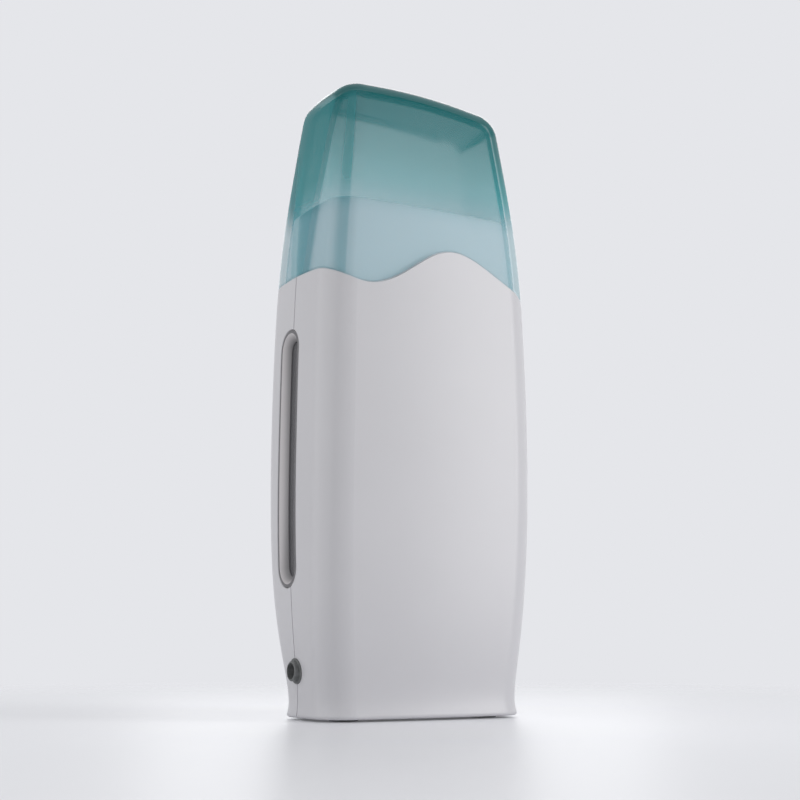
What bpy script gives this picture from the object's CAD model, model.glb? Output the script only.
"""Roll-on wax heater: the finish of every piece, and a studio round it.

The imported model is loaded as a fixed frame, in metres: the origin is on the floor under
the middle of the base, +Z is up, the front broad face looks to -Y, and the window and
the cord gland are on the narrow side to -X.
"""

import math

import bmesh
import bpy
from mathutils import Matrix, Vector


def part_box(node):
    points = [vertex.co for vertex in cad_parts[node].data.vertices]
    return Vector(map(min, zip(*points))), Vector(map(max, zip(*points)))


bl_info = {
    "name": "Roll-on wax heater",
    "version": (1, 0, 0),
    "blender": (4, 5, 0),
    "location": "View3D > Sidebar > Wax heater",
    "description": "Dresses the heater's pieces and sets up its studio",
    "category": "Object",
}

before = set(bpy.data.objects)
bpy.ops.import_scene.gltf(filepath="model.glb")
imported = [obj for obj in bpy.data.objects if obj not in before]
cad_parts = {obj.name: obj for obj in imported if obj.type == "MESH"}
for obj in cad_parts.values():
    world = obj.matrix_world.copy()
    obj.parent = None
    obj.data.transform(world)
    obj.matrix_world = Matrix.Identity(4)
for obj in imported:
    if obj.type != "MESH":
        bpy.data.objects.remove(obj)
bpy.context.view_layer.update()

MM = 0.001
MICRON = 0.000001

LID_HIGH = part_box("lid")[1]
COLLAR_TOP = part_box("inner_sleeve")[1].z
OBJECT_MIDDLE = Vector((0, 0, LID_HIGH.z / 2))


def linear(*bytes_per_channel):
    """A display colour, 0 to 255 for each channel, as the linear colour of a shader."""
    shares = [channel / 255 for channel in bytes_per_channel]
    return tuple(s / 12.92 if s <= 0.04045 else ((s + 0.055) / 1.055) ** 2.4 for s in shares)


def shade(colour, share):
    """A colour made darker or lighter by a share."""
    return tuple(min(channel * share, 1) for channel in colour[:3])


# ---- sizes and colours that a user would change -------------------------------------------
def colour_property(name, description, colour):
    """A colour swatch with its default."""
    return bpy.props.FloatVectorProperty(
        name=name, description=description, subtype="COLOR", min=0, max=1, default=colour
    )


class HeaterFinishes(bpy.types.PropertyGroup):
    """Colours and textures of the heater's plastics."""

    casing: colour_property("Casing", "Both casing shells", linear(219, 218, 222))
    sleeve: colour_property("Sleeve", "Chamber sleeve and its collar", linear(238, 239, 243))
    bezel: colour_property("Bezel", "Ring in the window slot", linear(226, 222, 224))
    bezel_rim: colour_property("Bezel rim", "Flat rim round the window", linear(112, 111, 114))
    lens: colour_property("Lens", "Smoked window lens", linear(96, 96, 100))
    lid_rim: colour_property("Lid at rim", "Lid over the collar", linear(94, 196, 214))
    lid_middle: colour_property("Lid at middle", "Lid above the collar", linear(96, 204, 212))
    lid_top: colour_property("Lid at top", "Lid where its tint is dense", linear(64, 156, 161))
    lid_edge: colour_property("Lid at edge", "Lid seen edge on", linear(20, 108, 110))
    rubber: colour_property("Rubber", "Gland and feet", linear(112, 114, 114))
    peel_size: bpy.props.FloatProperty(
        name="Peel size",
        description="Width of the soft waves in the moulded skin",
        unit="LENGTH",
        min=0.5 * MM,
        default=3 * MM,
    )
    peel_depth: bpy.props.FloatProperty(
        name="Peel depth",
        description="Depth of the soft waves in the moulded skin",
        unit="LENGTH",
        min=0,
        default=2.5 * MICRON,
    )


class HeaterStudio(bpy.types.PropertyGroup):
    """Where the camera stands and how the lamps burn."""

    azimuth: bpy.props.FloatProperty(
        name="Azimuth",
        description="Camera angle from the front, positive towards +X",
        subtype="ANGLE",
        default=math.radians(-30),
    )
    distance: bpy.props.FloatProperty(
        name="Distance",
        description="From the camera to the heater's axis",
        unit="LENGTH",
        default=0.397,
    )
    eye_height: bpy.props.FloatProperty(
        name="Eye height",
        description="Camera height above the floor",
        unit="LENGTH",
        default=0.0195,
    )
    lens: bpy.props.FloatProperty(
        name="Lens", description="Focal length", subtype="DISTANCE_CAMERA", default=62.5
    )
    lamp_level: bpy.props.FloatProperty(
        name="Lamp level", description="Strength of all lamps together", min=0, default=1.0
    )
    sky_level: bpy.props.FloatProperty(
        name="Sky level", description="Soft light from all round", min=0, default=0.36
    )
    backdrop: colour_property("Backdrop", "Pale surroundings", linear(229, 230, 234))


# ---- materials ----------------------------------------------------------------------------
GRAIN_SIZE = 0.3 * MM  # the fine grain of a moulded skin
GRAIN_DEPTH = 0.35 * MICRON
CLOUD_SIZE = 28 * MM  # the faint clouds in its colour

# How much light one skin of the lid lets through, and what its denser tint takes off that.
LID_CLARITY = 0.86  # let through over the collar
COLLAR_LOSS = 0.12  # taken off from the collar's top on
TOP_LOSS = 0.11  # taken off more and more towards the lid's top
END_LOSS = 0.55  # share taken off in the middle of the end on the window's side
CORNER_LOSS = 0.35  # share taken off in the corners beside it

# How the dense tint lies.
LID_TOP_FALL = 0.05  # how far the lid's top falls for each metre along X
END_SPREAD = 0.13  # how much the dense end widens on each side for each metre up


class Value:
    """A socket of a node tree. Arithmetic on it adds Math nodes."""

    def __init__(self, graph, socket):
        self.graph = graph
        self.socket = socket

    def __add__(self, other):
        return self.graph.math("ADD", self, other)

    def __radd__(self, other):
        return self.graph.math("ADD", other, self)

    def __sub__(self, other):
        return self.graph.math("SUBTRACT", self, other)

    def __rsub__(self, other):
        return self.graph.math("SUBTRACT", other, self)

    def __mul__(self, other):
        return self.graph.math("MULTIPLY", self, other)

    def __rmul__(self, other):
        return self.graph.math("MULTIPLY", other, self)

    def __truediv__(self, other):
        return self.graph.math("DIVIDE", self, other)

    def __rtruediv__(self, other):
        return self.graph.math("DIVIDE", other, self)

    def __abs__(self):
        return self.graph.math("ABSOLUTE", self)


class Graph:
    """Builds nodes in a node tree."""

    def __init__(self, tree):
        self.tree = tree

    def node(self, kind, settings=None, inputs=None, output=0):
        """Add a node, set it up, feed its sockets and return one output."""
        made = self.tree.nodes.new(kind)
        for name, setting in (settings or {}).items():
            if name == "stops":
                self.set_stops(made.color_ramp, setting)
            else:
                setattr(made, name, setting)
        for name, value in (inputs or {}).items():
            self.feed(made.inputs[name], value)
        return Value(self, made.outputs[output])

    def set_stops(self, ramp, stops):
        """Give a colour ramp sharp-edged stops, as (position, colour)."""
        ramp.interpolation = "CONSTANT"
        while len(ramp.elements) < len(stops):
            ramp.elements.new(1)
        for element, (position, colour) in zip(ramp.elements, stops):
            element.position = position
            element.color = (*colour, 1)

    def feed(self, socket, value):
        """Link a value to a socket, or write a plain number or colour on it."""
        if isinstance(value, Value):
            self.tree.links.new(value.socket, socket)
        elif socket.type == "RGBA":
            socket.default_value = (*value[:3], 1)
        else:
            socket.default_value = value

    def math(self, operation, *values):
        """A Math node on numbers or sockets."""
        return self.node("ShaderNodeMath", {"operation": operation}, dict(enumerate(values)))

    def mix(self, share, first, second):
        """From the first colour to the second, on a Mix node's colour sockets."""
        inputs = {0: share, 6: first, 7: second}
        return self.node("ShaderNodeMix", {"data_type": "RGBA"}, inputs, 2)

    def ease(self, value, low, high):
        """A smooth step: 0 up to low, 1 from high on."""
        inputs = {"Value": value, "From Min": low, "From Max": high}
        return self.node("ShaderNodeMapRange", {"interpolation_type": "SMOOTHSTEP"}, inputs)

    def most(self, first, second):
        """The larger of two shares."""
        return self.math("MAXIMUM", first, second)


class Finish(Graph):
    """A material on one Principled shader, with places in the heater's own frame."""

    def __init__(self, name, colour, roughness, constants=None):
        self.material = bpy.data.materials.new(name)
        self.material.use_nodes = True
        super().__init__(self.material.node_tree)
        self.shader = self.tree.nodes["Principled BSDF"]
        self.place = self.node("ShaderNodeTexCoord", output="Object")
        self.set("Base Color", colour)
        self.set("Roughness", roughness)
        for socket, value in (constants or {}).items():
            self.set(socket, value)

    def set(self, socket, value):
        """Feed one of the shader's sockets."""
        self.feed(self.shader.inputs[socket], value)

    def mottle(self, colour, dark, light, share):
        """Vary the colour from a darker to a lighter shade of it."""
        self.set("Base Color", self.mix(share, shade(colour, dark), shade(colour, light)))

    def axis(self, letter):
        """One coordinate of the surface's place, in metres."""
        return self.node("ShaderNodeSeparateXYZ", None, {0: self.place}, letter)

    def normal(self, letter):
        """How squarely the surface faces along an axis, from 0 to 1."""
        normal = self.node("ShaderNodeNewGeometry", output="Normal")
        return abs(self.node("ShaderNodeSeparateXYZ", None, {0: normal}, letter))

    def noise(self, size, detail=2.0, stretch=(1, 1, 1)):
        """Soft random shares, with spots about as wide as size."""
        inputs = {0: self.place, 1: [1 / (size * s) for s in stretch]}
        scaled = self.node("ShaderNodeVectorMath", {"operation": "MULTIPLY"}, inputs)
        inputs = {"Vector": scaled, "Scale": 1.0, "Detail": detail}
        return self.node("ShaderNodeTexNoise", None, inputs)

    def bump(self, height):
        """Raise the surface by a height in metres."""
        inputs = {"Height": height, "Distance": 1.0}
        self.set("Normal", self.node("ShaderNodeBump", None, inputs))

    def dress(self, *names):
        """Put this finish on pieces of the frame, by name."""
        for name in names:
            for slot in bpy.data.objects[name].material_slots:
                slot.material = self.material


def moulded(name, colour, roughness, peel_size, peel_depth, constants=None):
    """Moulded plastic: faint clouds in its colour, soft waves and a fine grain in its skin."""
    skin = Finish(name, colour, roughness, constants)
    cloud = skin.noise(CLOUD_SIZE)
    grain = skin.noise(GRAIN_SIZE, 3)
    peel = skin.noise(peel_size, 1)
    skin.mottle(colour, 0.965, 1.02, cloud)
    skin.set("Roughness", roughness - 0.03 + 0.05 * grain + 0.02 * cloud)
    skin.bump(peel_depth * peel + GRAIN_DEPTH * grain)
    return skin


def make_casing(finishes):
    """White gloss plastic."""
    peel = (finishes.peel_size, finishes.peel_depth)
    return moulded("casing_white", finishes.casing, 0.3, *peel, {"IOR": 1.58})


def make_sleeve(finishes):
    """Satin white heat-proof plastic."""
    return moulded("sleeve_white", finishes.sleeve, 0.42, 2 * MM, 2 * MICRON)


def make_lid(finishes):
    """Translucent teal plastic: its tint gets denser upwards, at the window's end and edge on."""
    skin = Finish("lid_teal", finishes.lid_rim, 0.16, {"IOR": 1.2, "Specular IOR Level": 0.3})
    along, level = skin.axis("X"), skin.axis("Z")
    faces_end, faces_front, faces_up = (skin.normal(letter) for letter in "XYZ")

    above_collar = skin.ease(level, COLLAR_TOP - 5 * MM, COLLAR_TOP + 8 * MM)
    rise = skin.ease(level + LID_TOP_FALL * along, COLLAR_TOP, LID_HIGH.z - 5 * MM)

    # The end on the window's side is dense in its middle, and so are the corners beside it.
    window_side = 1 - skin.ease(along, -5 * MM, 5 * MM)
    off_middle = abs(skin.axis("Y")) - END_SPREAD * (level - COLLAR_TOP)
    middle = 1 - skin.ease(off_middle, 5.6 * MM, 7.4 * MM)
    end = skin.ease(faces_end, 0.5, 0.6) * middle * window_side * (0.5 + 0.5 * above_collar)
    corner = skin.ease(faces_end, 0.38, 0.48) - skin.ease(faces_end, 0.62, 0.88)
    corner = corner * window_side * (0.3 + 0.7 * above_collar)

    # Rounded edges look dense where they turn away, and flat faces hardly do.
    top_face = skin.ease(faces_up, 0.4, 0.9) * (1 - skin.ease(faces_front, 0.2, 0.4))
    side_face = skin.most(skin.ease(faces_front, 0.92, 0.97), skin.ease(faces_end, 0.85, 0.95))
    flat = skin.most(0.9 * side_face, 0.6 * top_face)
    turned = skin.node("ShaderNodeLayerWeight", None, {"Blend": 0.5}, "Facing")
    edge = skin.ease(turned, 0.2, 0.46) * (1 - flat)

    tint = skin.mix(above_collar, finishes.lid_rim, finishes.lid_middle)
    tint = skin.mix(rise, tint, finishes.lid_top)
    tint = skin.mix(end * 0.8 + corner * 0.5, tint, finishes.lid_top)
    skin.set("Base Color", skin.mix(edge * (0.5 + 0.5 * rise), tint, finishes.lid_edge))
    clear = LID_CLARITY - COLLAR_LOSS * above_collar - TOP_LOSS * rise
    clear = clear * (1 - END_LOSS * end) * (1 - CORNER_LOSS * corner)
    skin.set("Alpha", 1 - clear * (1 - (0.25 + 0.6 * above_collar) * edge))
    skin.set("Roughness", 0.16 + 0.04 * skin.noise(14 * MM, 1))
    skin.bump(0.6 * finishes.peel_depth * skin.noise(3 * finishes.peel_size, 1))
    return skin


def make_bezel(finishes):
    """Satin light grey plastic: a dark rim that faces out, a slope that darkens inwards."""
    skin = Finish("bezel_grey", finishes.bezel, 0.38)
    rim = skin.ease(skin.normal("X"), 0.84, 0.94)
    rim_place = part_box("window_bezel")[0].x
    depth = skin.ease(skin.axis("X"), rim_place + 0.3 * MM, rim_place + 2.6 * MM)
    grain = skin.noise(GRAIN_SIZE, 3)
    slope = skin.mix(depth * 0.9, finishes.bezel, finishes.bezel_rim)
    skin.set("Base Color", skin.mix(rim, slope, finishes.bezel_rim))
    skin.set("Roughness", 0.34 + 0.06 * grain + 0.1 * rim)
    skin.bump(0.5 * MICRON * grain)
    return skin


def make_lens(finishes):
    """Smoked clear plastic, through which a lamp behind it would show."""
    skin = Finish("lens_smoked", finishes.lens, 0.09, {"IOR": 1.58})
    skin.set("Alpha", 0.8 + 0.04 * skin.noise(6 * MM))
    skin.set("Roughness", 0.07 + 0.05 * skin.noise(1.5 * MM))
    skin.bump(MICRON * skin.noise(4 * MM, 1))
    return skin


def make_rubber(name, colour):
    """Matt rubber with a dusty bloom."""
    skin = Finish(name, colour, 0.62, {"IOR": 1.5})
    bloom = skin.ease(skin.noise(1.6 * MM, 4), 0.4, 0.75)
    grain = skin.noise(0.18 * MM, 2)
    skin.mottle(colour, 1, 1.9, bloom * 0.5)
    skin.set("Roughness", 0.52 + 0.16 * grain + 0.08 * bloom)
    skin.bump(3 * MICRON * grain)
    return skin


def make_metal(name, colour, roughness, lay, grain_size=0.12 * MM):
    """Rolled or turned metal: fine lines along lay, and dull patches."""
    skin = Finish(name, colour, roughness, {"Metallic": 1.0})
    lines = skin.noise(grain_size, 2, lay)
    patch = skin.noise(3.5 * MM, 3)
    skin.mottle(colour, 0.86, 1.06, patch)
    skin.set("Roughness", roughness - 0.06 + 0.12 * lines + 0.08 * patch)
    skin.bump(1.5 * MICRON * lines)
    return skin


def make_stone():
    """Grey ceramic with metallised specks."""
    grey = linear(150, 146, 142)
    skin = Finish("heating_stone", grey, 0.55)
    speck = skin.ease(skin.noise(0.35 * MM, 3), 0.5, 0.7)
    skin.mottle(grey, 0.7, 1.15, speck)
    skin.set("Roughness", 0.62 - 0.2 * speck)
    skin.bump(4 * MICRON * speck)
    return skin


def make_film():
    """Amber insulating film, thin and slightly creased."""
    amber = linear(214, 142, 40)
    skin = Finish("amber_film", amber, 0.2, {"IOR": 1.7})
    crease = skin.noise(4 * MM, 2, (1, 1, 3))
    skin.mottle(amber, 0.8, 1.1, crease)
    skin.set("Alpha", 0.72 + 0.12 * crease)
    skin.bump(30 * MICRON * crease)
    return skin


def make_lamp_glass():
    """Clear glass with a faint warm tint."""
    skin = Finish("lamp_glass", linear(236, 206, 190), 0.03, {"IOR": 1.5})
    skin.set("Alpha", 0.22 + 0.05 * skin.noise(2 * MM))
    skin.bump(2 * MICRON * skin.noise(2.5 * MM, 1))
    return skin


def make_resistor():
    """Tan lacquer with four colour bands."""
    low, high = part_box("lamp_resistor")
    tan = linear(205, 178, 138)
    skin = Finish("resistor_lacquer", tan, 0.3)
    band_width = 0.08
    bands = (
        (0.2, linear(120, 78, 38)),
        (0.36, linear(30, 28, 28)),
        (0.52, linear(226, 158, 40)),
        (0.76, linear(196, 158, 64)),
    )
    stops = [(0.0, tan)]
    for start, colour in bands:
        stops += [(start, colour), (start + band_width, tan)]
    inputs = {"Fac": (skin.axis("Z") - low.z) / (high.z - low.z)}
    skin.set("Base Color", skin.node("ShaderNodeValToRGB", {"stops": stops}, inputs))
    skin.set("Roughness", 0.26 + 0.1 * skin.noise(0.6 * MM))
    skin.bump(6 * MICRON * skin.noise(0.9 * MM))
    return skin


def make_insulation():
    """White silicone lead insulation."""
    white = linear(224, 223, 218)
    skin = Finish("lead_silicone", white, 0.5)
    smudge = skin.noise(5 * MM, 3)
    skin.mottle(white, 0.84, 1, smudge)
    skin.set("Roughness", 0.42 + 0.2 * skin.noise(0.8 * MM))
    skin.bump(4 * MICRON * skin.noise(0.5 * MM))
    return skin


# ---- operators, one for each piece or group of like pieces --------------------------------
class HEATER_OT_casing(bpy.types.Operator):
    """Finish both casing shells"""

    bl_idname = "wax_heater.casing"
    bl_label = "Casing"

    def execute(self, context):
        make_casing(context.scene.heater_finishes).dress("front_shell", "rear_shell")
        return {"FINISHED"}


class HEATER_OT_lid(bpy.types.Operator):
    """Finish the lid"""

    bl_idname = "wax_heater.lid"
    bl_label = "Lid"

    def execute(self, context):
        make_lid(context.scene.heater_finishes).dress("lid")
        return {"FINISHED"}


class HEATER_OT_sleeve(bpy.types.Operator):
    """Finish the chamber sleeve, the lamp holder, the rest pad and the heat plate"""

    bl_idname = "wax_heater.sleeve"
    bl_label = "Sleeve, pad and plate"

    def execute(self, context):
        make_sleeve(context.scene.heater_finishes).dress("inner_sleeve", "lamp_holder")
        make_rubber("pad_silicone", linear(198, 200, 200)).dress("rest_pad")
        make_metal("plate_aluminium", linear(226, 227, 229), 0.34, (1, 1, 40)).dress("heat_plate")
        return {"FINISHED"}


class HEATER_OT_window(bpy.types.Operator):
    """Finish the window's bezel and lens"""

    bl_idname = "wax_heater.window"
    bl_label = "Window"

    def execute(self, context):
        finishes = context.scene.heater_finishes
        make_bezel(finishes).dress("window_bezel")
        make_lens(finishes).dress("window_lens")
        return {"FINISHED"}


class HEATER_OT_rubber(bpy.types.Operator):
    """Finish the cord gland and the feet"""

    bl_idname = "wax_heater.rubber"
    bl_label = "Gland and feet"

    def execute(self, context):
        colour = context.scene.heater_finishes.rubber
        make_rubber("dark_rubber", colour).dress("cord_gland", "feet")
        return {"FINISHED"}


class HEATER_OT_fasteners(bpy.types.Operator):
    """Finish the screws, and the clamp and block that they hold"""

    bl_idname = "wax_heater.fasteners"
    bl_label = "Screws, clamp and block"

    def execute(self, context):
        zinc = make_metal("screw_zinc", linear(196, 198, 200), 0.32, (1, 1, 1), 0.3 * MM)
        zinc.dress("shell_screws", "cord_clamp_screws", "terminal_screws")
        nylon = moulded("natural_nylon", linear(228, 226, 216), 0.45, 1.5 * MM, 2 * MICRON)
        nylon.dress("cord_clamp", "terminal_block")
        return {"FINISHED"}


class HEATER_OT_heater(bpy.types.Operator):
    """Finish the heating stack, its clip, the thermostat and the terminal sleeves"""

    bl_idname = "wax_heater.heater"
    bl_label = "Heating stack"

    def execute(self, context):
        brass = make_metal("contact_brass", linear(214, 176, 104), 0.3, (1, 1, 30))
        brass.dress("front_electrode", "rear_electrode", "terminal_sleeves")
        make_metal("spring_steel", linear(178, 180, 184), 0.28, (30, 1, 1)).dress("heater_clip")
        make_stone().dress("heating_stones")
        make_film().dress("insulating_wrap")
        black = linear(44, 44, 46)
        moulded("thermostat_black", black, 0.4, 1.2 * MM, 2 * MICRON).dress("thermostat")
        return {"FINISHED"}


class HEATER_OT_lamp(bpy.types.Operator):
    """Finish the indicator lamp and its resistor"""

    bl_idname = "wax_heater.lamp"
    bl_label = "Lamp and resistor"

    def execute(self, context):
        make_lamp_glass().dress("indicator_lamp")
        make_resistor().dress("lamp_resistor")
        return {"FINISHED"}


class HEATER_OT_leads(bpy.types.Operator):
    """Finish the inner leads"""

    bl_idname = "wax_heater.leads"
    bl_label = "Leads"

    def execute(self, context):
        make_insulation().dress("heater_leads", "lamp_leads")
        return {"FINISHED"}


# ---- studio -------------------------------------------------------------------------------
FLOOR_RADIUS = 1.6
FLOOR_FADE = (0.06, 0.45)  # how far out the floor starts to fade and is gone
FLOOR_COLOUR = 1.08  # the floor's own colour, as a share of the backdrop's
FLOOR_GLOW = 0.12  # what the camera sees on top of the lit floor, as such a share

# Name, azimuth in degrees, then distance, height and size in metres, then watts.
LAMPS = (
    ("key_lamp", 42, 0.45, 0.2, (0.2, 0.5), 1.0),
    ("side_lamp", -92, 0.5, 0.18, (0.7, 0.6), 0.92),
    ("back_lamp", 150, 0.9, 0.5, (0.5, 0.5), 1.9),
)


def bearing(azimuth):
    """The level direction at an azimuth from the front, positive towards +X."""
    return Vector((math.sin(azimuth), -math.cos(azimuth), 0))


def face(item, target):
    """Turn a lamp or the camera towards a point."""
    item.rotation_euler = (target - item.location).to_track_quat("-Z", "Y").to_euler()


def softbox(name, degrees, distance, height, size, watts):
    """A rectangular studio lamp that faces the heater."""
    lamp = bpy.data.lights.new(name, "AREA")
    lamp.shape = "RECTANGLE"
    lamp.size, lamp.size_y = size
    lamp.energy = watts
    item = bpy.data.objects.new(name, lamp)
    item.location = bearing(math.radians(degrees)) * distance + Vector((0, 0, height))
    item.visible_camera = False
    bpy.context.collection.objects.link(item)
    face(item, OBJECT_MIDDLE)


def make_floor(backdrop):
    """A round pale floor that fades into the backdrop."""
    mesh = bmesh.new()
    bmesh.ops.create_circle(mesh, cap_ends=True, radius=FLOOR_RADIUS, segments=96)
    data = bpy.data.meshes.new("studio_floor")
    mesh.to_mesh(data)
    mesh.free()
    floor = bpy.data.objects.new("studio_floor", data)
    bpy.context.collection.objects.link(floor)
    skin = Finish("studio_floor", shade(backdrop, FLOOR_COLOUR), 0.3, {"IOR": 1.35})
    seen = skin.node("ShaderNodeLightPath", output="Is Camera Ray")
    skin.set("Emission Color", skin.mix(seen, (0, 0, 0), shade(backdrop, FLOOR_GLOW)))
    skin.set("Emission Strength", 1.0)
    away = skin.node("ShaderNodeVectorMath", {"operation": "LENGTH"}, {0: skin.place}, "Value")
    skin.set("Roughness", 0.28 + 0.03 * skin.noise(60 * MM, 1))
    skin.set("Alpha", 1 - skin.ease(away, *FLOOR_FADE))
    data.materials.append(skin.material)


def light_sky(sky, backdrop):
    """Even light from all round; sight, gloss and glass see the backdrop instead."""
    bpy.context.scene.world = bpy.data.worlds.new("studio_sky")
    bpy.context.scene.world.use_nodes = True
    graph = Graph(bpy.context.scene.world.node_tree)
    camera, glossy, transmitted = (
        graph.node("ShaderNodeLightPath", output=f"Is {kind} Ray")
        for kind in ("Camera", "Glossy", "Transmission")
    )
    seen = graph.math("MINIMUM", camera + glossy + transmitted, 1.0)
    colour = graph.mix(seen, (sky, sky, sky), backdrop)
    graph.feed(graph.tree.nodes["Background"].inputs["Color"], colour)


class HEATER_OT_studio(bpy.types.Operator):
    """Set up the floor, the lamps, the sky and the camera"""

    bl_idname = "wax_heater.studio"
    bl_label = "Studio"

    def execute(self, context):
        studio = context.scene.heater_studio
        make_floor(studio.backdrop)
        light_sky(studio.sky_level, studio.backdrop)
        for name, degrees, distance, height, size, watts in LAMPS:
            softbox(name, degrees, distance, height, size, watts * studio.lamp_level)
        camera = bpy.data.objects.new("camera", bpy.data.cameras.new("camera"))
        bpy.context.collection.objects.link(camera)
        camera.location = bearing(studio.azimuth) * studio.distance
        camera.location.z = studio.eye_height
        face(camera, OBJECT_MIDDLE)
        camera.data.lens = studio.lens
        context.scene.camera = camera
        context.scene.view_settings.view_transform = "Standard"
        return {"FINISHED"}


class HEATER_PT_sidebar(bpy.types.Panel):
    """Lists the heater's operators and their settings"""

    bl_idname = "HEATER_PT_sidebar"
    bl_label = "Wax heater"
    bl_space_type = "VIEW_3D"
    bl_region_type = "UI"
    bl_category = "Wax heater"

    def draw(self, context):
        for settings in (context.scene.heater_finishes, context.scene.heater_studio):
            for name in settings.__annotations__:
                self.layout.prop(settings, name)
        for operator in OPERATORS:
            self.layout.operator(operator.bl_idname)


OPERATORS = (
    HEATER_OT_studio,
    HEATER_OT_casing,
    HEATER_OT_lid,
    HEATER_OT_sleeve,
    HEATER_OT_window,
    HEATER_OT_rubber,
    HEATER_OT_fasteners,
    HEATER_OT_heater,
    HEATER_OT_lamp,
    HEATER_OT_leads,
)
CLASSES = (HeaterFinishes, HeaterStudio, *OPERATORS, HEATER_PT_sidebar)


def register():
    """Register the classes and hang the settings on the scene."""
    for item in CLASSES:
        bpy.utils.register_class(item)
    bpy.types.Scene.heater_finishes = bpy.props.PointerProperty(type=HeaterFinishes)
    bpy.types.Scene.heater_studio = bpy.props.PointerProperty(type=HeaterStudio)


def unregister():
    """Take the settings and the classes away again."""
    del bpy.types.Scene.heater_studio
    del bpy.types.Scene.heater_finishes
    for item in reversed(CLASSES):
        bpy.utils.unregister_class(item)


def main():
    """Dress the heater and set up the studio."""
    register()
    for operator in OPERATORS:
        group, name = operator.bl_idname.split(".")
        getattr(getattr(bpy.ops, group), name)()


if __name__ == "__main__":
    main()
